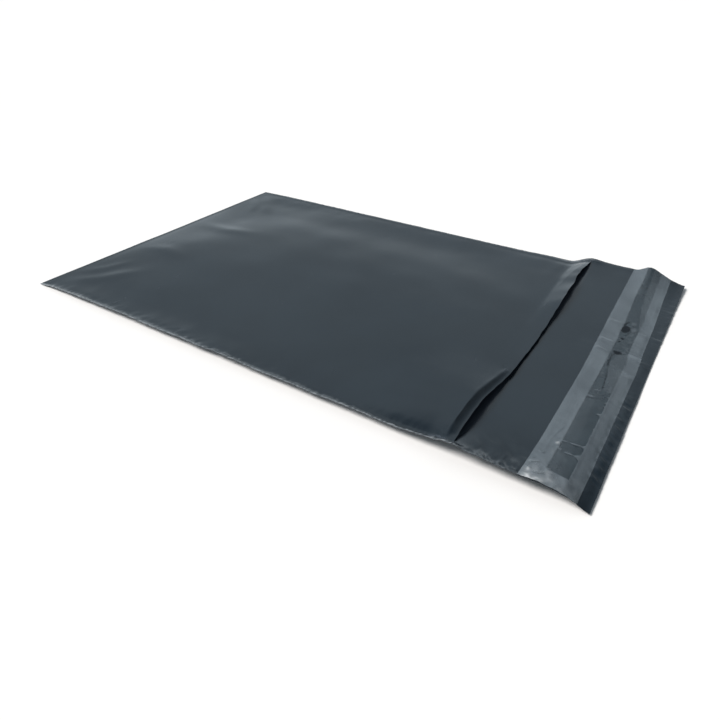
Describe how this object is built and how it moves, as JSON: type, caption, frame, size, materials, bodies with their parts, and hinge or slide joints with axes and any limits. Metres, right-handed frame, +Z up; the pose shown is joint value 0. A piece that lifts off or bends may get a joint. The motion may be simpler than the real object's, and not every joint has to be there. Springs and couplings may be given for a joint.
{
  "type": "poly mailer bag",
  "caption": "Flat polyethylene mailing bag: folded film welded along its sides, open at the mouth, with a closing flap that carries an adhesive band under a clear release liner.",
  "frame": {"origin": "on the floor, under the middle of the bag's overall length and width", "axes": "+X across the width, +Y from the bottom fold to the flap edge, +Z up out of the floor that the bag lies on"},
  "size_m": [0.19, 0.3, 0.0082],
  "materials": {
    "film": "satin black polyethylene film",
    "adhesive": "clear tacky hot-melt layer, dark over the black film",
    "liner": "clear glossy release film, slightly hazy"
  },
  "bodies": {
    "root": {"mailer_film": "film", "adhesive_strip": "adhesive", "release_liner": "liner"}
  },
  "joints": []
}
